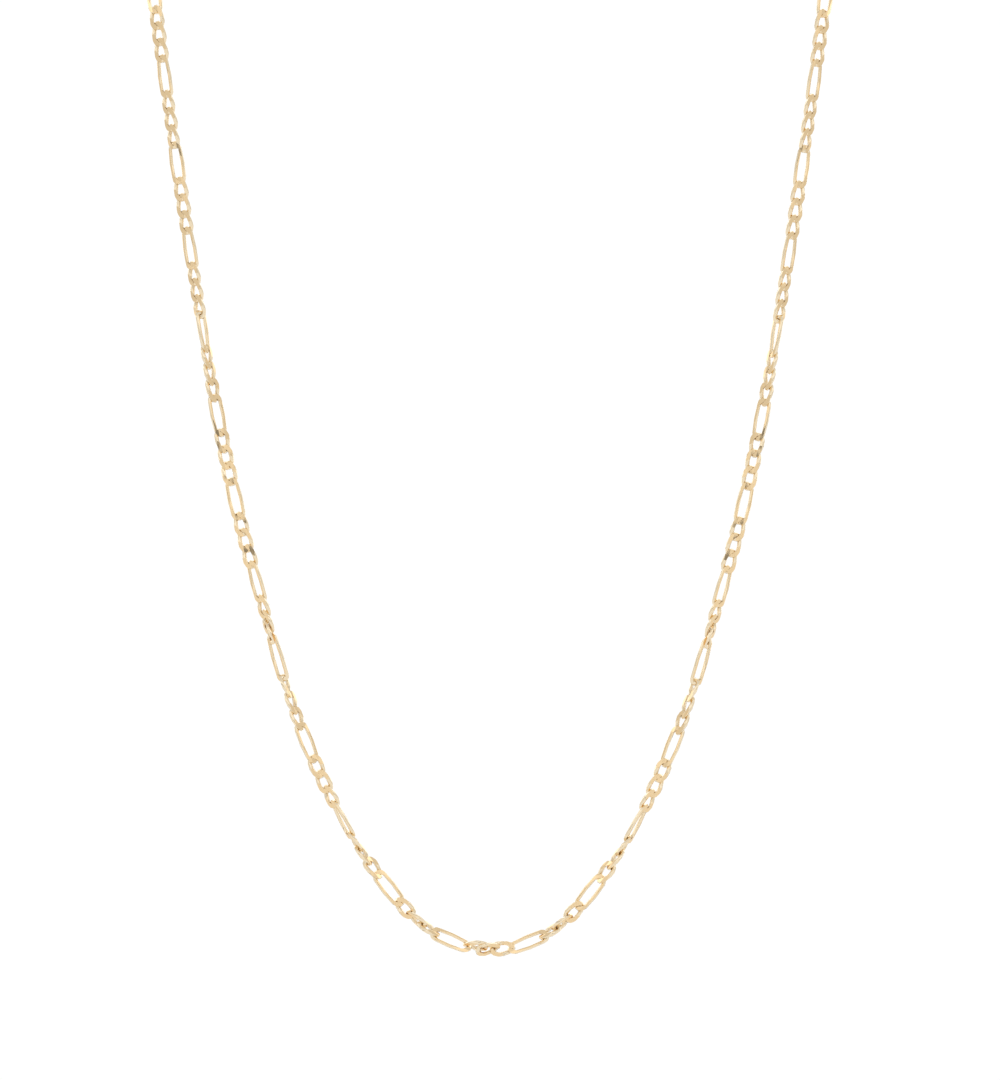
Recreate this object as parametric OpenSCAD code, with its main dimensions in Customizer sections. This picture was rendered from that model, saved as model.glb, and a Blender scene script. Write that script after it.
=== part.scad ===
// Figaro chain necklace, worn hanging: three short flat links and one long one in turn, closed by a
// spring ring at the nape. Sizes in millimetres, +Z up, the worn front towards -Y. The origin is the
// middle of the nape, where the neck carries the chain.

/* [Links] */
// Thickness of the wire that the links are bent from
wire_d = 0.48; // [0.4:0.01:0.54]
// Width of a link across its two side rails
link_w = 2.08; // [1.9:0.02:2.6]
// Thickness of the chain once its front and back are filed flat
filed_t = 0.88; // [0.7:0.02:1.2]
// Length inside a short link
short_inside = 2.51; // [2.3:0.01:3.2]
// Length inside a long link
long_inside = 5.09; // [4:0.01:8]
// Short links between two long ones
shorts_in_row = 3; // [1:2:5]
// Free gap where two links hook into each other
play = 0.2; // [0.14:0.01:0.3]
// Angle that each end of a link is turned out of its face
end_turn = 38; // [34:1:42]

/* [Form] */
// Width of the loop across the sides of the neck
neck_w = 95.8; // [90:0.2:110]
// Distance from the nape to the plane of the front strands
neck_depth = 49; // [44:0.5:60]
// Height of the nape above the lowest point
drop = 142; // [130:1:180]

/* [Clasp] */
// Outside diameter of the spring ring
ring_d = 5.0; // [4.5:0.1:8]
// Thickness of the spring ring's tube
tube_d = 1.0; // [0.7:0.05:1.3]
// Thickness of the bolt that closes the spring ring
bolt_d = 0.6; // [0.4:0.05:0.65]
// Stretch of the spring ring that the bolt closes, in degrees
bolt_arc = 80; // [50:5:110]
// Outside diameter of the eye that is soldered to the spring ring
eye_d = 2.0; // [1.8:0.05:3]
// Thickness of the eye's wire
eye_wire_d = 0.5; // [0.4:0.05:0.6]
// Diameter of the thumb knob on the bolt
knob_d = 0.8; // [0.6:0.05:1]
// Length that the thumb knob stands out of the spring ring
knob_out = 0.7; // [0.5:0.05:1.2]

/* [Hidden] */

// Route of the chain's right half, from its lowest point up the front, over the side of the neck and
// round to the nape. Points chosen by hand, as shares of half the neck's width to the right, of its
// depth to the front, and of the drop downwards
route = [
    [0, 1, 1],
    [0.117, 1, 0.990],
    [0.217, 1, 0.968],
    [0.309, 1, 0.932],
    [0.403, 1, 0.887],
    [0.511, 1, 0.814],
    [0.597, 1, 0.737],
    [0.672, 1, 0.648],
    [0.739, 1, 0.563],
    [0.802, 1, 0.461],
    [0.854, 1, 0.356],
    [0.898, 1, 0.261],
    [0.939, 1, 0.166],
    [0.973, 0.996, 0.082],
    [0.994, 0.939, 0.030],
    [1, 0.784, 0.008],
    [0.948, 0.555, 0.006],
    [0.789, 0.314, 0.004],
    [0.547, 0.135, 0.002],
    [0.280, 0.035, 0.001],
    [0, 0, 0]];

// Share of the end turn that is reached where a rail begins
rail_share = 0.55;

// How far a link's face is turned about its own run: [link's number from the lowest point, degrees].
// The hanging chain is wound up, most of all near its lowest point.
turns = [
    [0, 766],
    [3, 671],
    [5, 607],
    [7, 539],
    [9, 477],
    [11, 409],
    [12, 388],
    [13, 372],
    [14, 348],
    [15, 313],
    [17, 272],
    [18, 244],
    [20, 231],
    [22, 207],
    [23, 192],
    [26, 180],
    [29, 170],
    [33, 110],
    [34, 77],
    [35, 50],
    [38, 28],
    [41, 12],
    [42, 10],
    [45, 23],
    [46, 22],
    [49, 11],
    [50, 3],
    [51, -16],
    [54, -57],
    [58, -90]];

// Links next to the clasp over which the face turns to lie square to it
squaring_links = 14;

// Straight pieces between two route points, steps round a link's bend and sides of its wire
span_steps = 20;
bend_steps = 4;
wire_sides = 5;
round_steps = 64;

// Stretch of a link's bend, to each side of its tip, that has the whole end turn, in degrees
whole_turn = 45;

// Depth that soldered pieces share, and the bolt's stretch inside each end of the tube, in degrees
solder = 0.12;
bolt_hold = 10;

gold = [0.88, 0.74, 0.5];
front = [0, -1, 0];
right = [1, 0, 0];

function unit(v) = v / norm(v);
function across(p) = [-p.x, p.y, p.z];
function side_of(p, side) = side > 0 ? p : across(p);

// Smooth curve through four route points, between the two in the middle
function curve(a, b, c, d, t) =
    (2 * b + (c - a) * t + (2 * a - 5 * b + 4 * c - d) * t * t + (3 * b - a - 3 * c + d) * t * t * t) / 2;

stops = [for (p = route) [p.x * neck_w / 2, -p.y * neck_depth, -p.z * drop]];
spans = len(stops) - 1;

// The left half mirrors the right one, so the route runs on smoothly past both its ends
function stop(i) = i < 0 ? across(stops[-i]) : i > spans ? across(stops[2 * spans - i]) : stops[i];

fine = [for (i = [0 : spans - 1], j = [0 : span_steps - 1])
            curve(stop(i - 1), stop(i), stop(i + 1), stop(i + 2), j / span_steps),
        stops[spans]];
steps = [for (i = [1 : len(fine) - 1]) norm(fine[i] - fine[i - 1])];
run = [for (i = 0, s = 0; i < len(fine); s = s + (i < len(steps) ? steps[i] : 0), i = i + 1) s];
half_run = run[len(run) - 1];
paths = [for (k = [0 : 2]) [for (i = [0 : len(fine) - 1]) [run[i], fine[i][k]]]];

// Point at a length along the half, from the lowest point
function at(s) = [for (k = [0 : 2]) lookup(s, paths[k])];

// Clasp along its own middle line, from the joint with the left chain to the one with the right
ring_r = (ring_d - tube_d) / 2;
eye_r = (eye_d - eye_wire_d) / 2;
eye_off = ring_r + tube_d / 2 + eye_wire_d / 2 - solder + eye_r;
bolt_reach = ring_r - bolt_d / 2 - play / 2;
eye_reach = eye_off + eye_r - eye_wire_d / 2 - play / 2;
clasp_half = (bolt_reach + eye_reach) / 2;
ring_x = clasp_half - bolt_reach;

// Links on one side of the middle short link are counted outwards from 1
row = shorts_in_row + 1;
function is_long(n) = (n + row / 2) % row == 0;
function inside(n) = is_long(n) ? long_inside : short_inside;
function pitch(n) = inside(n) - play;

// Lengths from the lowest point to each joint. The whole run is drawn out or closed up by less than one
// link, shared by all the links, so that the last joint meets the clasp.
chain_run = half_run - clasp_half;
far = [for (n = 0, s = pitch(0) / 2; s <= chain_run + pitch(0) / 2; n = n + 1, s = s + pitch(n)) s];
fitted = chain_run / far[len(far) - 1];
joints = [for (s = far) at(s * fitted)];
links = len(joints) - 1;

// Direction of each link, and its face, carried along the route without turning
ways = [for (n = [0 : links]) n == 0 ? right : unit(joints[n] - joints[n - 1])];
function flatten(f, way) = unit(f - (f * way) * way);
faces = [for (n = 0, f = front; n <= links; n = n + 1, f = n <= links ? flatten(f, ways[n]) : f) f];
function turned(f, way, a) = f * cos(a) + cross(way, f) * sin(a);

// Turn of each link's face, which ends with the middle of the last link's bend square to the clasp
square_turn = -end_turn * (1 + rail_share) / 2;
function squared(n) = max(0, 1 - (links - n) / squaring_links);
function turn_of(n) = lookup(n, turns) * (1 - squared(n)) + square_turn * squared(n);

// One link, in its own frame: x along the chain, y across its face, z out of its face
half_w = (link_w - wire_d) / 2;
ring_count = 2 * (bend_steps + 1);

// Rings of the wire, counted round the link from the start of its outer bend
function bend_angle(i) = -90 + 180 * (i % (bend_steps + 1)) / bend_steps;
function bend_end(i) = i > bend_steps ? -1 : 1;
function turn_share(a) = lookup(90 - abs(a), [[0, rail_share], [90 - whole_turn, 1]]);

// Angle that ring i is turned out of the face, one way at one end of a link and the other way at the
// other end. A plain link is flat, and all of it is turned one way.
function ring_turn(i, plain) = end_turn * (plain ? 1 : bend_end(i) * turn_share(bend_angle(i)));
function ring_mid(i, length, plain) =
    let (a = bend_angle(i), e = bend_end(i), q = ring_turn(i, plain))
    [e * (length / 2 - half_w + half_w * cos(a)), e * half_w * sin(a) * cos(q), e * half_w * sin(a) * sin(q)];

// Corners of the wire's section at ring i, filed flat in front and behind unless the link is plain
function filed(p, plain) = plain ? p : [p.x, p.y, min(max(p.z, -filed_t / 2), filed_t / 2)];
function ring_points(i, length, plain) =
    let (mids = [for (k = [-1 : 1]) ring_mid((i + k + ring_count) % ring_count, length, plain)],
         way = unit(mids[2] - mids[0]),
         q = ring_turn(i, plain),
         up = flatten([0, -sin(q), cos(q)], way),
         out = cross(way, up))
    [for (k = [0 : wire_sides - 1])
        let (a = 90 + 360 * k / wire_sides)
        filed(mids[1] + wire_d / 2 * (out * cos(a) + up * sin(a)), plain)];
function link_points(length, plain) = [for (i = [0 : ring_count - 1]) each ring_points(i, length, plain)];

short_link = link_points(short_inside + wire_d, false);
long_link = link_points(long_inside + wire_d, false);
plain_link = link_points(short_inside + wire_d, true);

// A link of the right or left half, put between its two joints
function placed(n, side) =
    let (from = n == 0 ? across(joints[0]) : joints[n - 1],
         mid = (from + joints[n]) / 2,
         way = ways[n],
         face = turned(faces[n], way, turn_of(n)),
         cross_way = cross(face, way),
         shape = n == 0 ? plain_link : is_long(n) ? long_link : short_link)
    [for (p = shape) side_of(mid + p.x * way + p.y * cross_way + p.z * face, side)];

// Triangles of a link whose corners start at number first
link_corners = ring_count * wire_sides;
function link_faces(first, side) =
    [for (i = [0 : ring_count - 1], k = [0 : wire_sides - 1])
        let (i2 = (i + 1) % ring_count,
             k2 = (k + 1) % wire_sides,
             a = first + i * wire_sides + k,
             b = first + i * wire_sides + k2,
             c = first + i2 * wire_sides + k2,
             d = first + i2 * wire_sides + k)
        each (side > 0 ? [[a, b, c], [a, c, d]] : [[a, c, b], [a, d, c]])];

// The links from number first outwards, on one side
module links_from(first, side) {
    points = [for (n = [first : links]) each placed(n, side)];
    triangles = [for (n = [0 : links - first]) each link_faces(n * link_corners, side)];
    polyhedron(points = points, faces = triangles);
}

// Right half, with the plain middle link at the lowest point
module chain_right() {
    color(gold)
    links_from(0, 1);
}

module chain_left() {
    color(gold)
    links_from(1, -1);
}

// Part of a round ring of wire, from one angle to another
module wire_arc(r, d, from, to) {
    rotate([0, 0, from])
    rotate_extrude(angle = to - from, $fn = round_steps)
    translate([r, 0])
    circle(d = d, $fn = round_steps);
}

// Spring ring lying flat on the nape, its bolt on the right and its eye on the left. The thumb knob
// stands on the end of its tube.
module clasp() {
    knob_angle = bolt_arc / 2 + knob_d / 2 / ring_r * 180 / PI;
    color(gold)
    rotate([90, 0, 0])
    translate([ring_x, 0, 0])
    union() {
        wire_arc(ring_r, tube_d, bolt_arc / 2, 360 - bolt_arc / 2);
        wire_arc(ring_r, bolt_d, -bolt_arc / 2 - bolt_hold, bolt_arc / 2 + bolt_hold);
        translate([-eye_off, 0, 0])
        wire_arc(eye_r, eye_wire_d, 0, 360);
        rotate([0, 0, knob_angle])
        translate([ring_r, 0, 0])
        rotate([0, 90, 0])
        cylinder(d = knob_d, h = tube_d / 2 + knob_out, $fn = round_steps);
    }
}

chain_right();
chain_left();
clasp();
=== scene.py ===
import math

import bmesh
import bpy
from mathutils import Matrix, Vector


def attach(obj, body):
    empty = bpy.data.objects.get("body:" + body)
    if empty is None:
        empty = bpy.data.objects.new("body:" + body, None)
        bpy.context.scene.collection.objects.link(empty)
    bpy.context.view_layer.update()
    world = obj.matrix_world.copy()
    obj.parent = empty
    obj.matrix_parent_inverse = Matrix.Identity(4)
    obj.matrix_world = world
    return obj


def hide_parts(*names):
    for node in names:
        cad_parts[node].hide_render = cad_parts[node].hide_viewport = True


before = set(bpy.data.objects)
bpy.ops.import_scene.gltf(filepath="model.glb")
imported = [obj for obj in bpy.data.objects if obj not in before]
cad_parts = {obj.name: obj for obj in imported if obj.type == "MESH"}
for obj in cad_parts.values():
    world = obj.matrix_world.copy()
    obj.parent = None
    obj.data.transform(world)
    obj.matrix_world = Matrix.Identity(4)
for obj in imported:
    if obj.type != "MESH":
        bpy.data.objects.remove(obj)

# Gold figaro chain necklace, hanging: short and long oval links in turn, filed flat, with a spring ring.
# Metres and degrees throughout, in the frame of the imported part.

scene = bpy.context.scene
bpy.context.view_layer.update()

# The hanging loop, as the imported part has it
loop = {
    "neckWidth": 0.09565,
    "neckDepth": 0.0489,
    "drop": 0.142,
    # shares of half the width, of the depth and of the drop, from the lowest point to the nape
    "route": (
        (0, 1, 1),
        (0.117, 1, 0.990),
        (0.217, 1, 0.968),
        (0.309, 1, 0.932),
        (0.403, 1, 0.887),
        (0.511, 1, 0.814),
        (0.597, 1, 0.737),
        (0.672, 1, 0.648),
        (0.739, 1, 0.563),
        (0.802, 1, 0.461),
        (0.854, 1, 0.356),
        (0.898, 1, 0.261),
        (0.939, 1, 0.166),
        (0.973, 0.996, 0.082),
        (0.994, 0.939, 0.030),
        (1, 0.784, 0.008),
        (0.948, 0.555, 0.006),
        (0.789, 0.314, 0.004),
        (0.547, 0.135, 0.002),
        (0.280, 0.036, 0.001),
        (0, 0.0015, 0),
    ),
    "spanSteps": 20,  # fine steps from one row of the route to the next
    # link's number from the lowest one, and how far its face is turned about its own run
    "turns": (
        (0, 765), (1, 755), (2, 695), (3, 657), (4, 604), (5, 553), (6, 533), (7, 509), (8, 472),
        (9, 440), (10, 424), (11, 404), (12, 376), (13, 351), (14, 333), (15, 313), (16, 303),
        (17, 289), (18, 222), (19, 274), (20, 239), (21, 228), (22, 219), (23, 202.5), (24, 195.5),
        (25, 199.5), (26, 191), (27, 179), (28, 171), (29, 157), (30, 156), (31, 140), (32, 128),
        (33, 123), (34, 120), (35, 49), (36, 44), (37, 45), (38, 35), (39, 36), (40, 29), (41, 28),
        (42, 20.5), (43, 48), (44, 41), (45, 44), (46, 33), (47, 32), (48, 29), (49, 26), (50, 8),
        (51, -16), (54, -57), (58, -90),
    ),
    # place in the row of links, and how far loose or tight joints have moved it along the chain
    "slack": (
        (0, 0), (3, -0.00035), (6, -0.00052), (9, -0.0006), (16, -0.00066), (17, -0.0004),
        (17.5, -0.0003), (18.5, 0.00105), (19.5, -0.0004), (20.5, -0.00058), (24, -0.00049),
        (28, -0.00036), (33, -0.00025), (37, -0.00017), (41, 0), (45, 0.00052), (48, 0.0007),
        (60, 0.0003), (76, 0),
    ),
    # place in the row of links, and how far below the route it hangs, on the right (1) and on the left (-1)
    "sag": {
        1: (
            (0, 0), (1, 0.00015), (3, 0.0004), (6, 0.0006), (18, 0.00058), (22, 0.0007), (26, 0.00063),
            (30, 0.00057), (38, 0.0007), (42, 0.00052), (46, 0.0006), (52, 0.0005), (70, 0), (76, 0),
        ),
        -1: ((0, 0), (76, 0)),
    },
    "oddLink": 18,  # the long link on each side that is longer than the rest
    "squaringLinks": 14,  # the last links before the clasp, over which the turns level out
    # the three lowest links, pulled askew: how far to the right and up, how far swung in the loop's plane,
    # and how far turned about their own run
    "askew": {
        -1: (0.0002, 0.0005, 6, 24),
        0: (-0.0002, 0.00035, 14, 0),
        1: (-0.00035, 0.0002, -1, -22),
    },
}

# The links. Wires touch here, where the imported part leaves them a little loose.
links = {
    "shortPitch": 0.00231,
    "longPitch": 0.00489,
    "oddPitch": 0.00608,
    "shortsInRow": 3,
    "railSpacing": 0.00149,
    "shortRailBow": 0.00005,
    "longRailBow": 0.0001,
    "endLap": 0.00013,  # how deep two wires bear into each other at a joint
    "wire": 0.00077,
    "shortRailWire": 0.00066,
    "longRailWire": 0.00057,
    "filedThickness": 0.0007,
    "filedWidth": 0.0009,  # level part of a filed face, between its two slopes
    "filedSlope": 9,
    "filedFacing": 0.98,  # least upright share of a face's normal that counts as filed
    "endTurn": 37,  # how far each end is turned out of the link's face
    "shortRailShare": 0.45,  # what is left of the ends' turn where a rail begins
    "longRailShare": 0.2,
    "bendSteps": 5,
    "railSteps": 2,
    "wireSides": 6,
    # painted shade on the insides of the bends: its reach from the link's end and its fading, in widths of
    # the wire,
    # then how far inwards a face has to look, and how fast the painted shade grows from there
    "shadeReach": 1.6,
    "shadeFade": 0.5,
    "shadeInward": 0.15,
    "shadeGain": 2.5,
    "looseTurn": 0.5,  # how far each link leans at random
    "seed": 7,
}

# The spring ring that closes the loop at the nape
clasp = {
    "ringWidth": 0.005,
    "tube": 0.001,
    "tubeEnd": 0.00018,  # length over which the tube's ends are rolled in
    "tubeEndSteps": (0, 30, 60, 90),
    "bolt": 0.0006,
    "boltArc": 80,
    "boltHidden": 6,  # how far the bolt goes on inside each end of the tube
    "eyeWidth": 0.002,
    "eyeWire": 0.0005,
    "knob": 0.0008,
    "solder": 0.00012,  # how deep the eye is sunk into the ring
    "play": 0.0002,
    "tubeSections": 56,
    "boltSections": 18,
    "eyeSections": 36,
    "sides": 16,
    "sharpAngle": 50,
    # height above the middle of the tube, and radius there
    "knobProfile": (
        (0.0002, 0.00023), (0.0006, 0.00023), (0.00068, 0.00033), (0.00078, 0.00039), (0.00096, 0.0004),
        (0.0011, 0.00035), (0.00118, 0.00022), (0.0012, 0.00006),
    ),
    # place from the eye's wire towards the ring, and radius there
    "solderProfile": (
        (-0.0002, 0.00016), (-0.0001, 0.00027), (0.00005, 0.0003), (0.0002, 0.00033), (0.0003, 0.0002),
    ),
}


# One class wraps a socket of a node tree, so that sums on it are written as plain expressions
class Term:
    def __init__(self, tree, socket=None):
        self.tree = tree
        self.socket = socket

    # Any node: its type, its settings, the values or links of its sockets, and the output that is used
    def add(self, kind, settings=None, sockets=None, output=0):
        node = self.tree.nodes.new(kind)
        for name, value in (settings or {}).items():
            if name == "stops":
                while len(node.color_ramp.elements) < len(value):
                    node.color_ramp.elements.new(0.5)
                for element, (place, colour) in zip(node.color_ramp.elements, value):
                    element.position = place
                    element.color = colour
            else:
                setattr(node, name, value)
        for key, value in (sockets or {}).items():
            for part in value if isinstance(value, list) else [value]:
                if isinstance(part, Term):
                    self.tree.links.new(part.socket, node.inputs[key])
                else:
                    node.inputs[key].default_value = part
        return Term(self.tree, node.outputs[output])

    def sum(self, operation, *values):
        return self.add("ShaderNodeMath", {"operation": operation}, dict(enumerate(values)))

    def __add__(self, other):
        return self.sum("ADD", self, other)

    def __radd__(self, other):
        return self.sum("ADD", other, self)

    def __sub__(self, other):
        return self.sum("SUBTRACT", self, other)

    def __rsub__(self, other):
        return self.sum("SUBTRACT", other, self)

    def __mul__(self, other):
        return self.sum("MULTIPLY", self, other)

    def __rmul__(self, other):
        return self.sum("MULTIPLY", other, self)

    def __truediv__(self, other):
        return self.sum("DIVIDE", self, other)

    def __mod__(self, other):
        return self.sum("FLOORED_MODULO", self, other)

    def __gt__(self, other):
        return self.sum("GREATER_THAN", self, other)

    def __abs__(self):
        return self.sum("ABSOLUTE", self)

    def sine(self):
        return self.sum("SINE", self)

    def cosine(self):
        return self.sum("COSINE", self)

    def arccosine(self):
        return self.sum("ARCCOSINE", self)

    def within(self, low, high):
        return self.sum("MINIMUM", self.sum("MAXIMUM", self, low), high)


# Route of the loop

def acrossMiddle(point):
    return Vector((-point.x, point.y, point.z))


def lookup(rows, key):
    for (a, low), (b, high) in zip(rows, rows[1:]):
        if key <= b:
            return low + (high - low) * (key - a) / (b - a)
    return rows[-1][1]


# Point at the share t of the way from b to c, on a smooth curve through a, b, c and d
def curveThrough(a, b, c, d, t):
    return (2 * b + (c - a) * t + (2 * a - 5 * b + 4 * c - d) * t ** 2 + (3 * b - a - 3 * c + d) * t ** 3) / 2


# Fine points of the right half, from the lowest point to the nape, each with its length along the half
def halfRoute():
    size = (loop["neckWidth"] / 2, -loop["neckDepth"], -loop["drop"])
    stops = [Vector(share * length for share, length in zip(row, size)) for row in loop["route"]]
    stops = [acrossMiddle(stops[1])] + stops + [acrossMiddle(stops[-2])]
    points = [
        curveThrough(*stops[i:i + 4], j / loop["spanSteps"])
        for i in range(len(stops) - 3)
        for j in range(loop["spanSteps"])
    ]
    points.append(stops[-2])
    run = [0]
    for before, after in zip(points, points[1:]):
        run.append(run[-1] + (after - before).length)
    return list(zip(run, points))


# Radii and places of the clasp's ring and eye, and half the clasp's length along the loop
def claspLayout():
    ringRadius = (clasp["ringWidth"] - clasp["tube"]) / 2
    eyeRadius = (clasp["eyeWidth"] - clasp["eyeWire"]) / 2
    eyeOff = ringRadius + (clasp["tube"] + clasp["eyeWire"]) / 2 - clasp["solder"] + eyeRadius
    boltReach = ringRadius - (clasp["bolt"] + clasp["play"]) / 2
    eyeReach = eyeOff + eyeRadius - (clasp["eyeWire"] + clasp["play"]) / 2
    half = (boltReach + eyeReach) / 2
    return {
        "half": half,
        "ringPlace": half - boltReach,  # to the right of the nape
        "ringRadius": ringRadius,
        "eyeRadius": eyeRadius,
        "eyeOff": eyeOff,  # to the left of the ring's middle
    }


# Links of one half from the lowest one outwards: middle, run, face and kind of each. Both halves are laid
# out on the right, and halfPoints mirrors the left one.
def strandLinks(side):
    route = halfRoute()
    row = links["shortsInRow"] + 1
    chainRun = route[-1][0] - claspLayout()["half"]
    # lengths from the lowest point to each joint; the lowest link is the middle one of its three short ones
    far = [links["shortPitch"] / 2]
    isLong = [False]
    while far[-1] <= chainRun - links["shortPitch"] / 2:
        isLong.append((len(far) + row // 2) % row == 0)
        far.append(far[-1] + links["longPitch" if isLong[-1] else "shortPitch"])
    joints = []
    for number, length in enumerate(far):
        place = number + 0.5  # the joint at the link's outer end
        run = length * chainRun / far[-1] + lookup(loop["slack"], place)
        joints.append(lookup(route, run) - Vector((0, 0, lookup(loop["sag"][side], place))))
    ends = [acrossMiddle(joints[0])] + joints
    last = len(joints) - 1
    # at the clasp, the middle of the last link's bend lies square to the clasp's wire
    squareTurn = -links["endTurn"] * (1 + links["shortRailShare"]) / 2
    face = Vector((0, -1, 0))
    made = []
    for number, (before, after) in enumerate(zip(ends, ends[1:])):
        way = (after - before).normalized()
        face = (face - way * face.dot(way)).normalized()
        squared = max(0, 1 - (last - number) / loop["squaringLinks"])
        angle = lookup(loop["turns"], number) * (1 - squared) + squareTurn * squared
        made.append({
            "number": number,
            "middle": (before + after) / 2,
            "way": way,
            "face": Matrix.Rotation(math.radians(angle), 3, way) @ face,
            "kind": 2 if number == loop["oddLink"] else int(isLong[number]),
        })
    return made


# The links of one half as points, each with its turn and its kind: 0 short, 1 long, 2 odd
def halfPoints(name, half, side):
    mesh = bpy.data.meshes.new(name)
    turns = []
    middles = []
    for link in half:
        middle, way, face = link["middle"], link["way"], link["face"]
        if side < 0:
            middle, way, face = acrossMiddle(middle), acrossMiddle(way), acrossMiddle(face)
        if link["number"] * side in loop["askew"]:
            right, up, swing, twist = loop["askew"][link["number"] * side]
            middle = middle + Vector((right, 0, up))
            swung = Matrix.Rotation(math.radians(swing), 3, (0, -1, 0))
            way, face = swung @ way, swung @ Matrix.Rotation(math.radians(twist * side), 3, way) @ face
        middles.append(middle)
        turns.extend(Matrix((way, face.cross(way), face)).transposed().to_quaternion())
    mesh.from_pydata(middles, [], [])
    mesh.attributes.new("turn", "QUATERNION", "POINT").data.foreach_set("value", turns)
    mesh.attributes.new("kind", "INT", "POINT").data.foreach_set("value", [link["kind"] for link in half])
    return mesh


# Links

linkInputs = {
    "Points": "NodeSocketGeometry",
    "Short Pitch": "NodeSocketFloat",
    "Long Pitch": "NodeSocketFloat",
    "Odd Pitch": "NodeSocketFloat",
    "Rail Spacing": "NodeSocketFloat",
    "Short Rail Bow": "NodeSocketFloat",
    "Long Rail Bow": "NodeSocketFloat",
    "End Lap": "NodeSocketFloat",
    "Wire": "NodeSocketFloat",
    "Short Rail Wire": "NodeSocketFloat",
    "Long Rail Wire": "NodeSocketFloat",
    "Filed Thickness": "NodeSocketFloat",
    "Filed Width": "NodeSocketFloat",
    "Filed Slope": "NodeSocketFloat",
    "End Turn": "NodeSocketFloat",
    "Short Rail Share": "NodeSocketFloat",
    "Long Rail Share": "NodeSocketFloat",
    "Bend Steps": "NodeSocketInt",
    "Rail Steps": "NodeSocketInt",
    "Wire Sides": "NodeSocketInt",
    "Loose Turn": "NodeSocketFloat",
    "Seed": "NodeSocketInt",
    "Gold": "NodeSocketMaterial",
}


# The wire of one link along x: two bends turned out of the link's face, and the two rails between them
def bentWire(given, size, halfLength):
    bow, railWire, railShare = (given[size + name] for name in (" Rail Bow", " Rail Wire", " Rail Share"))
    half = given["Bend Steps"] + given["Rail Steps"]
    index = given["Points"].add("GeometryNodeInputIndex")
    # Half of the corners go round the bend of one end (angle -90 to 90, along 1) and on down one rail
    # (angle 90, along 1 to -1). The other half do the same from the other end.
    end = 1 - 2 * (index > half - 0.5)
    step = index % half
    angle = ((step / given["Bend Steps"]).within(0, 1) - 0.5) * math.pi
    along = 1 - 2 * ((step - given["Bend Steps"]) / given["Rail Steps"]).within(0, 1)
    onRail = (abs(angle) / (math.pi / 4) - 1).within(0, 1)
    turn = end * given["End Turn"] * along * (1 - onRail * (1 - railShare))
    halfWidth = given["Rail Spacing"] / 2
    side = end * (halfWidth + bow * (1 - along * along)) * angle.sine()
    place = index.add("ShaderNodeCombineXYZ", {}, {
        "X": end * ((halfLength - halfWidth) * along + halfWidth * angle.cosine()),
        "Y": side * turn.cosine(),
        "Z": side * turn.sine(),
    })
    # a closed curve of any size, whose points then go to their places
    circle = index.add("GeometryNodeCurvePrimitiveCircle", {}, {"Resolution": half * 2, "Radius": 0.001})
    line = index.add("GeometryNodeSetPosition", {}, {"Geometry": circle, "Position": place})
    section = index.add("GeometryNodeCurvePrimitiveCircle", {}, {
        "Resolution": given["Wire Sides"],
        "Radius": given["Wire"] / 2,
    })
    bent = index.add("GeometryNodeCurveToMesh", {}, {
        "Curve": line,
        "Profile Curve": section,
        "Scale": 1 - onRail * (1 - railWire / given["Wire"]),
    })
    return index.add("GeometryNodeSetShadeSmooth", {}, {"Geometry": bent, "Shade Smooth": True})


# What the file leaves of a link: a slab in three strips, of which the outer two slope down
def filedSlab(given, halfLength):
    start = given["Points"]
    size = start.add("ShaderNodeCombineXYZ", {}, {
        "X": halfLength * 4,  # well past both ends
        "Y": given["Filed Width"] * 3,  # a width for each strip
        "Z": given["Filed Thickness"],
    })
    slab = start.add("GeometryNodeMeshCube", {}, {"Size": size, "Vertices Y": 4})
    corner = start.add("GeometryNodeInputPosition")
    outer = abs(start.add("ShaderNodeSeparateXYZ", {}, {"Vector": corner}, "Y")) > given["Filed Width"]
    fall = given["Filed Width"] * given["Filed Slope"].sine() / given["Filed Slope"].cosine()
    lower = start.add("ShaderNodeCombineXYZ", {}, {
        "X": 1.0,
        "Y": 1.0,
        "Z": 1 - outer * fall / (given["Filed Thickness"] / 2),
    })
    sloped = start.add("ShaderNodeVectorMath", {"operation": "MULTIPLY"}, {0: corner, 1: lower})
    return start.add("GeometryNodeSetPosition", {}, {"Geometry": slab, "Position": sloped})


# Painted shade on the inner side of the two bends, standing in for the shade between neighbouring links: 0 to
# 1
def paintedShadeShare(given, halfLength, normal):
    start = given["Points"]
    place = start.add("GeometryNodeInputPosition")
    away = start.add("ShaderNodeVectorMath", {"operation": "NORMALIZE"}, {0: place})
    facing = start.add("ShaderNodeVectorMath", {"operation": "DOT_PRODUCT"}, {0: away, 1: normal}, "Value")
    alongLink = abs(start.add("ShaderNodeSeparateXYZ", {}, {"Vector": place}, "X"))
    past = alongLink - halfLength + given["Wire"] * links["shadeReach"]
    nearEnd = (past / (given["Wire"] * links["shadeFade"])).within(0, 1)
    return nearEnd * ((-1 * facing - links["shadeInward"]) * links["shadeGain"]).within(0, 1)
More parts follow.
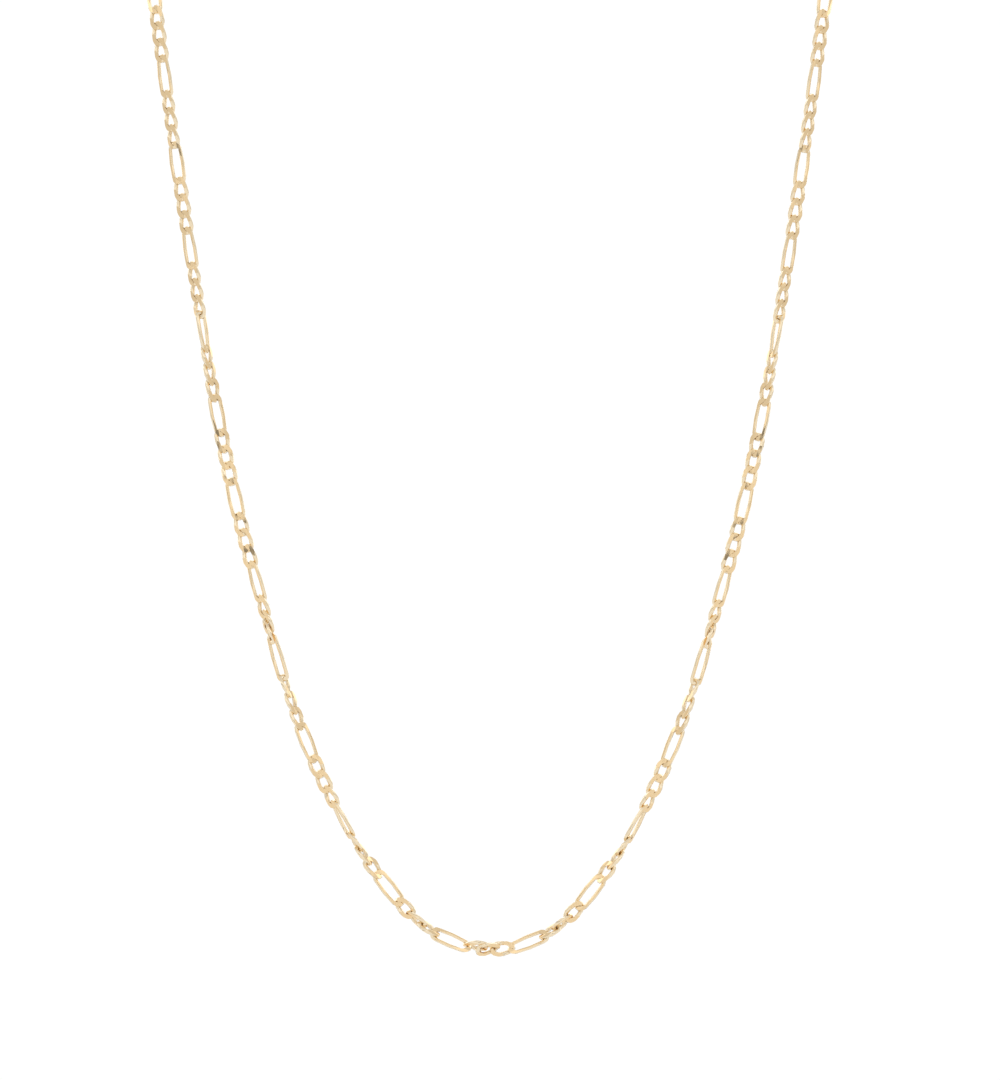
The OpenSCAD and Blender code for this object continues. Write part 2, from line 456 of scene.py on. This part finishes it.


# One link along x with its face towards z, its filed faces and the painted shade inside its bends marked for
# the gold
def linkBody(given, size, pitch):
    start = given["Points"]
    halfLength = (pitch + given["Wire"] - given["End Lap"]) / 2
    cut = start.add("GeometryNodeMeshBoolean", {"operation": "INTERSECT", "solver": "EXACT"}, {
        "Mesh 2": [bentWire(given, size, halfLength), filedSlab(given, halfLength)],
    })
    crisp = start.add("GeometryNodeSetShadeSmooth", {"domain": "EDGE"}, {
        "Geometry": cut,
        "Selection": Term(cut.tree, cut.socket.node.outputs["Intersecting Edges"]),
        "Shade Smooth": False,
    })
    normal = start.add("GeometryNodeInputNormal")
    upright = abs(start.add("ShaderNodeSeparateXYZ", {}, {"Vector": normal}, "Z"))
    filed = start.add("GeometryNodeStoreNamedAttribute", {"data_type": "FLOAT", "domain": "FACE"}, {
        "Geometry": crisp,
        "Name": "filed",
        "Value": upright > links["filedFacing"],
    })
    # the painted shade inside the bends, kept on each face for the gold
    return start.add("GeometryNodeStoreNamedAttribute", {"data_type": "FLOAT", "domain": "FACE"}, {
        "Geometry": filed,
        "Name": "rubbed",
        "Value": paintedShadeShare(given, halfLength, normal),
    })


# Puts a short, a long or the odd link on each point. Returns the tree and its inputs' identifiers by name.
def linkTree():
    tree = bpy.data.node_groups.new("figaroLinks", "GeometryNodeTree")
    keys = {
        name: tree.interface.new_socket(name, in_out="INPUT", socket_type=kind).identifier
        for name, kind in linkInputs.items()
    }
    tree.interface.new_socket("Links", in_out="OUTPUT", socket_type="NodeSocketGeometry")
    entry = tree.nodes.new("NodeGroupInput")
    given = {name: Term(tree, entry.outputs[name]) for name in linkInputs}
    start = given["Points"]

    kinds = (
        linkBody(given, "Short", given["Short Pitch"]),
        linkBody(given, "Long", given["Long Pitch"]),
        linkBody(given, "Long", given["Odd Pitch"]),
    )
    kind = start.add("GeometryNodeInputNamedAttribute", {"data_type": "INT"}, {"Name": "kind"})
    turn = start.add("GeometryNodeInputNamedAttribute", {"data_type": "QUATERNION"}, {"Name": "turn"})
    # each link leans a little at random, within the loose turn
    lean = start.add("ShaderNodeCombineXYZ", {}, {"X": given["Loose Turn"], "Y": given["Loose Turn"] / 2})
    back = start.add("ShaderNodeVectorMath", {"operation": "SCALE"}, {0: lean, "Scale": -1.0})
    loose = start.add("FunctionNodeRandomValue", {"data_type": "FLOAT_VECTOR"}, {
        "Min": back,
        "Max": lean,
        "Seed": given["Seed"],
    })
    tilt = start.add("FunctionNodeEulerToRotation", {}, {"Euler": loose})
    tilted = start.add("FunctionNodeRotateRotation", {"rotation_space": "LOCAL"}, {
        "Rotation": turn,
        "Rotate By": tilt,
    })
    strung = [
        start.add("GeometryNodeInstanceOnPoints", {}, {
            "Points": start,
            "Selection": 1 - (abs(kind - number) > 0.5),
            "Instance": body,
            "Rotation": tilted,
        })
        for number, body in enumerate(kinds)
    ]
    joined = start.add("GeometryNodeJoinGeometry", {}, {"Geometry": strung})
    shade = start.add("FunctionNodeRandomValue", {"data_type": "FLOAT"}, {"Seed": given["Seed"] + 1})
    shaded = start.add("GeometryNodeStoreNamedAttribute", {"data_type": "FLOAT", "domain": "INSTANCE"}, {
        "Geometry": joined,
        "Name": "shade",
        "Value": shade,
    })
    real = start.add("GeometryNodeRealizeInstances", {}, {"Geometry": shaded})
    gilded = start.add("GeometryNodeSetMaterial", {}, {"Geometry": real, "Material": given["Gold"]})
    result = tree.nodes.new("NodeGroupOutput")
    tree.links.new(gilded.socket, result.inputs["Links"])
    return tree, keys


# Gold

gold = {
    "filedColour": (0.94, 0.692, 0.385),
    "wireColour": (0.965, 0.81, 0.572),
    # painted shade inside the bends: a darker, browner gold
    "paintedShadeColour": (0.62, 0.46, 0.27),
    # how far the colour goes from the wire's to the filed one: on filed faces, in clouds, from link to link
    "filedShare": 0.85,
    "cloudShare": 0.15,
    "linkShare": 0.2,
    "filedRoughness": 0.14,
    "wireRoughness": 0.12,
    "markRoughness": 0.06,
    "cloudRoughness": 0.05,
    "roughnessLimits": (0.03, 0.6),
    "cloudScale": 900.0,
    "cloudDetail": 3.0,
    "markScale": 9000.0,
    "markDetail": 4.0,
    "markStrength": 0.08,
    "markHeight": 0.00002,
    "waveScale": 650.0,
    "waveHeight": 0.0001,
}


# Polished pale yellow gold with fine file marks, a little deeper in colour on the filed faces, with painted
# shade inside the bends
def goldMaterial(name):
    material = bpy.data.materials.new(name)
    material.use_nodes = True
    tree = material.node_tree
    surface = tree.nodes["Principled BSDF"]
    surface.inputs["Metallic"].default_value = 1.0
    start = Term(tree)
    place = start.add("ShaderNodeTexCoord", {}, {}, "Object")
    filed = start.add("ShaderNodeAttribute", {"attribute_name": "filed"}, {}, "Fac")
    shade = start.add("ShaderNodeAttribute", {"attribute_name": "shade"}, {}, "Fac")
    rubbed = start.add("ShaderNodeAttribute", {"attribute_name": "rubbed"}, {}, "Fac")
    cloud = start.add("ShaderNodeTexNoise", {}, {
        "Vector": place,
        "Scale": gold["cloudScale"],
        "Detail": gold["cloudDetail"],
    })
    marks = start.add("ShaderNodeTexNoise", {}, {
        "Vector": place,
        "Scale": gold["markScale"],
        "Detail": gold["markDetail"],
    })
    # no two links are quite alike; sockets 6 and 7 are a Mix node's two colours
    deeper = filed * gold["filedShare"] + cloud * gold["cloudShare"] + (shade - 0.5) * gold["linkShare"]
    polished = start.add("ShaderNodeMix", {"data_type": "RGBA"}, {
        "Factor": deeper.within(0, 1),
        6: (*gold["wireColour"], 1),
        7: (*gold["filedColour"], 1),
    }, 2)
    # painted shade: the insides of the bends go darker and browner
    cornersShaded = start.add("ShaderNodeMix", {"data_type": "RGBA"}, {
        "Factor": rubbed,
        6: polished,
        7: (*gold["paintedShadeColour"], 1),
    }, 2)
    tree.links.new(cornersShaded.socket, surface.inputs["Base Color"])
    rough = gold["wireRoughness"] + filed * (gold["filedRoughness"] - gold["wireRoughness"])
    rough = rough + (marks - 0.5) * gold["markRoughness"] + (cloud - 0.5) * gold["cloudRoughness"]
    tree.links.new(rough.within(*gold["roughnessLimits"]).socket, surface.inputs["Roughness"])
    wave = start.add("ShaderNodeTexNoise", {}, {"Vector": place, "Scale": gold["waveScale"], "Detail": 0.0})
    uneven = start.add("ShaderNodeBump", {}, {"Height": wave, "Distance": gold["waveHeight"]})
    bump = start.add("ShaderNodeBump", {}, {
        "Height": marks,
        "Strength": gold["markStrength"],
        "Distance": gold["markHeight"],
        "Normal": uneven,
    })
    tree.links.new(bump.socket, surface.inputs["Normal"])
    return material


# One half of the chain as a plain mesh
def chainHalf(name, half, side, tree, keys, material):
    values = {
        "Short Pitch": links["shortPitch"],
        "Long Pitch": links["longPitch"],
        "Odd Pitch": links["oddPitch"],
        "Rail Spacing": links["railSpacing"],
        "Short Rail Bow": links["shortRailBow"],
        "Long Rail Bow": links["longRailBow"],
        "End Lap": links["endLap"],
        "Wire": links["wire"],
        "Short Rail Wire": links["shortRailWire"],
        "Long Rail Wire": links["longRailWire"],
        "Filed Thickness": links["filedThickness"],
        "Filed Width": links["filedWidth"],
        "Filed Slope": math.radians(links["filedSlope"]),
        "End Turn": math.radians(links["endTurn"]) * side,
        "Short Rail Share": links["shortRailShare"],
        "Long Rail Share": links["longRailShare"],
        "Bend Steps": links["bendSteps"],
        "Rail Steps": links["railSteps"],
        "Wire Sides": links["wireSides"],
        "Loose Turn": math.radians(links["looseTurn"]),
        "Seed": links["seed"],
        "Gold": material,
    }
    piece = bpy.data.objects.new(name, halfPoints(name, half, side))
    scene.collection.objects.link(piece)
    modifier = piece.modifiers.new("links", "NODES")
    modifier.node_group = tree
    for label, value in values.items():
        modifier[keys[label]] = value
    shaped = piece.evaluated_get(bpy.context.evaluated_depsgraph_get())
    plain = bpy.data.meshes.new_from_object(shaped)
    piece.modifiers.clear()
    piece.data = plain
    print(name, len(half), "links,", len(plain.polygons), "faces")
    return piece


tree, keys = linkTree()
chainGold = goldMaterial("chainGold")
halves = {
    "chain_right": (strandLinks(1), 1),
    "chain_left": (strandLinks(-1)[1:], -1),  # the lowest link belongs to the right half
}
for node, (half, side) in halves.items():
    piece = chainHalf(node.replace("chain_", "links_"), half, side, tree, keys, chainGold)
    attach(piece, "root")
    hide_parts(node)
print("chain made")


# Clasp

# Joins rings of corners to a closed shell
def skinRings(shell, rings, closed):
    around = range(len(rings[0]))
    for before, after in zip(rings, rings[1:] + (rings[:1] if closed else [])):
        for i in around:
            j = (i + 1) % len(around)
            shell.faces.new((before[i], before[j], after[j], after[i]))
    if not closed:
        shell.faces.new(rings[0])
        shell.faces.new(rings[-1])


# Round wire along an arc that stands upright: rows of angle and wire radius
def wireArc(shell, middle, arcRadius, rows, closed):
    rings = []
    for angle, thick in rows:
        out = Vector((math.cos(math.radians(angle)), 0, math.sin(math.radians(angle))))
        corners = []
        for i in range(clasp["sides"]):
            turn = math.tau * i / clasp["sides"]
            aside = Vector((0, thick * math.sin(turn), 0))
            corners.append(shell.verts.new(middle + out * (arcRadius + thick * math.cos(turn)) + aside))
        rings.append(corners)
    skinRings(shell, rings, closed)


# Round solid along a line from a point: rows of height and radius
def turnedShape(shell, foot, way, rows):
    side = way.orthogonal().normalized()
    rings = []
    for height, radius in rows:
        corners = []
        for i in range(clasp["sides"]):
            out = Matrix.Rotation(math.tau * i / clasp["sides"], 3, way) @ side
            corners.append(shell.verts.new(foot + way * height + out * radius))
        rings.append(corners)
    skinRings(shell, rings, False)


# The ring's tube, open over the bolt's arc, with its two ends rolled in towards the bolt
def ringTube(shell, middle, ringRadius):
    tube, bolt, opening = clasp["tube"] / 2, clasp["bolt"] / 2, clasp["boltArc"] / 2
    rolled = math.degrees(clasp["tubeEnd"] / ringRadius)
    ends = []
    for step in clasp["tubeEndSteps"]:
        turn = math.radians(step)
        ends.append((rolled * (1 - math.cos(turn)), bolt + (tube - bolt) * math.sin(turn)))
    sections = clasp["tubeSections"]
    span = 360 - 2 * (opening + rolled)
    rows = [(opening + off, thick) for off, thick in ends]
    rows += [(opening + rolled + span * i / sections, tube) for i in range(1, sections)]
    rows += [(360 - opening - off, thick) for off, thick in reversed(ends)]
    wireArc(shell, middle, ringRadius, rows, False)


# The bolt across the opening, and the thumb knob that draws it back
def boltAndKnob(shell, middle, ringRadius):
    opening = clasp["boltArc"] / 2
    reach = opening + clasp["boltHidden"]
    sections = clasp["boltSections"]
    rows = [(-reach + 2 * reach * i / sections, clasp["bolt"] / 2) for i in range(sections + 1)]
    wireArc(shell, middle, ringRadius, rows, False)
    lift = math.radians(opening) + clasp["knob"] / 2 / ringRadius
    out = Vector((math.cos(lift), 0, math.sin(lift)))
    turnedShape(shell, middle + out * ringRadius, out, clasp["knobProfile"])


# The closed eye, soldered to the ring
def solderedEye(shell, middle, eyeRadius):
    sections = clasp["eyeSections"]
    rows = [(360 * i / sections, clasp["eyeWire"] / 2) for i in range(sections)]
    wireArc(shell, middle, eyeRadius, rows, True)
    turnedShape(shell, middle + Vector((eyeRadius, 0, 0)), Vector((1, 0, 0)), clasp["solderProfile"])


def springRing(name, material):
    layout = claspLayout()
    middle = Vector((layout["ringPlace"], 0, 0))
    shell = bmesh.new()
    ringTube(shell, middle, layout["ringRadius"])
    boltAndKnob(shell, middle, layout["ringRadius"])
    solderedEye(shell, middle - Vector((layout["eyeOff"], 0, 0)), layout["eyeRadius"])
    bmesh.ops.recalc_face_normals(shell, faces=shell.faces)
    mesh = bpy.data.meshes.new(name)
    shell.to_mesh(mesh)
    shell.free()
    mesh.shade_smooth()
    mesh.set_sharp_from_angle(angle=math.radians(clasp["sharpAngle"]))
    mesh.materials.append(material)
    piece = bpy.data.objects.new(name, mesh)
    scene.collection.objects.link(piece)
    return piece


claspPiece = springRing("spring_ring", goldMaterial("claspGold"))
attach(claspPiece, "root")
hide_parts("clasp")
print("spring ring made")


# Studio

studio = {
    "floorHeight": -0.3,
    "floorWidth": 3.0,
    "floorColour": (0.95, 0.95, 0.95),
    "floorRoughness": 0.9,
    "background": 1.03,  # brightness of the ground that the camera sees
    # brightness that the gold mirrors, by the angle from the direction of the camera
    "surround": (
        (0, 0.8), (30, 1.1), (48, 0.75), (98, 0.75), (107, 0.71), (114, 0.75), (124, 1.42), (180, 1.46),
    ),
    # a dark panel on each side of the camera: how far aside, its half width and its soft edge, and how many
    # times as high as wide it is
    "darkAside": 27,
    "darkRadius": 5,
    "darkEdge": 2.5,
    "darkHeight": 2,
    "darkBrightness": 0.19,
    "boxPlaces": {"leftBox": (-1.4, -0.9, 0.9), "rightBox": (1.4, -0.9, 0.9)},
    "boxSize": 0.7,
    "boxPower": 1.0,
    "boxTarget": (0, -0.049, -0.07),
    "cameraDistance": 1.2,  # from the loop's front
    "viewHeight": 0.1512,  # height of the frame at the loop's front
    "viewMiddle": (0.00147, -0.08446),  # x and z
    "sensor": 36,  # millimetres
    "farthestSeen": 50,
}


def floorSheet():
    mesh = bpy.data.meshes.new("floor")
    half, height = studio["floorWidth"] / 2, studio["floorHeight"]
    corners = [(-half, -half, height), (half, -half, height), (half, half, height), (-half, half, height)]
    mesh.from_pydata(corners, [], [(0, 1, 2, 3)])
    floor = bpy.data.objects.new("floor", mesh)
    scene.collection.objects.link(floor)
    paint = bpy.data.materials.new("paleFloor")
    paint.use_nodes = True
    surface = paint.node_tree.nodes["Principled BSDF"]
    surface.inputs["Base Color"].default_value = (*studio["floorColour"], 1)
    surface.inputs["Roughness"].default_value = studio["floorRoughness"]
    mesh.materials.append(paint)


def softBox(name, place):
    lamp = bpy.data.lights.new(name, "AREA")
    lamp.shape = "SQUARE"
    lamp.size = studio["boxSize"]
    lamp.energy = studio["boxPower"]
    light = bpy.data.objects.new(name, lamp)
    scene.collection.objects.link(light)
    light.location = place
    light.rotation_euler = (Vector(studio["boxTarget"]) - Vector(place)).to_track_quat("-Z", "Y").to_euler()


# What surrounds the piece: brighter behind it, two dark panels in front, and an even ground to the camera
def paleWorld():
    world = bpy.data.worlds.new("paleWorld")
    scene.world = world
    world.use_nodes = True
    tree = world.node_tree
    surface = tree.nodes["Background"]
    surface.inputs["Color"].default_value = (1, 1, 1, 1)
    start = Term(tree)
    way = start.add("ShaderNodeTexCoord", {}, {}, "Generated")
    forward = start.add("ShaderNodeSeparateXYZ", {}, {"Vector": way}, "Y")
    ramp = start.add("ShaderNodeValToRGB", {
        "stops": [(degrees / 180, (level, level, level, 1)) for degrees, level in studio["surround"]],
    }, {"Fac": (-1 * forward).arccosine() / math.pi})
    # the left side is folded onto the right one, so that one panel serves both
    across = start.add("ShaderNodeVectorMath", {"operation": "ABSOLUTE"}, {0: way})
    squeeze = (0, 1, 1 / studio["darkHeight"])
    flat = start.add("ShaderNodeVectorMath", {"operation": "MULTIPLY"}, {0: way, 1: squeeze})
    sideways = (1, 0, 0)
    both = start.add("ShaderNodeVectorMath", {"operation": "MULTIPLY_ADD"}, {0: across, 1: sideways, 2: flat})
    folded = start.add("ShaderNodeVectorMath", {"operation": "NORMALIZE"}, {0: both})
    aside = math.radians(studio["darkAside"])
    dark = (math.sin(aside), -math.cos(aside), 0)
    near = start.add("ShaderNodeVectorMath", {"operation": "DOT_PRODUCT"}, {0: folded, 1: dark}, "Value")
    offDark = (near.arccosine() * (180 / math.pi) - studio["darkRadius"]) / studio["darkEdge"]
    light = studio["darkBrightness"] + offDark.within(0, 1) * (ramp - studio["darkBrightness"])
    seen = start.add("ShaderNodeLightPath", {}, {}, "Is Camera Ray")
    brightness = light * (1 - seen) + seen * studio["background"]
    tree.links.new(brightness.socket, surface.inputs["Strength"])


def cameraAtFront():
    lens = bpy.data.cameras.new("camera")
    lens.sensor_fit = "AUTO"  # the sensor's width spans the frame's longer side, which is its height
    lens.sensor_width = studio["sensor"]
    lens.lens = lens.sensor_width * studio["cameraDistance"] / studio["viewHeight"]
    lens.clip_end = studio["farthestSeen"]
    camera = bpy.data.objects.new("camera", lens)
    scene.collection.objects.link(camera)
    x, z = studio["viewMiddle"]
    camera.location = (x, -loop["neckDepth"] - studio["cameraDistance"], z)
    camera.rotation_euler = (math.pi / 2, 0, 0)
    scene.camera = camera


floorSheet()
paleWorld()
for name, place in studio["boxPlaces"].items():
    softBox(name, place)
cameraAtFront()
scene.view_settings.view_transform = "Standard"
print("studio set")
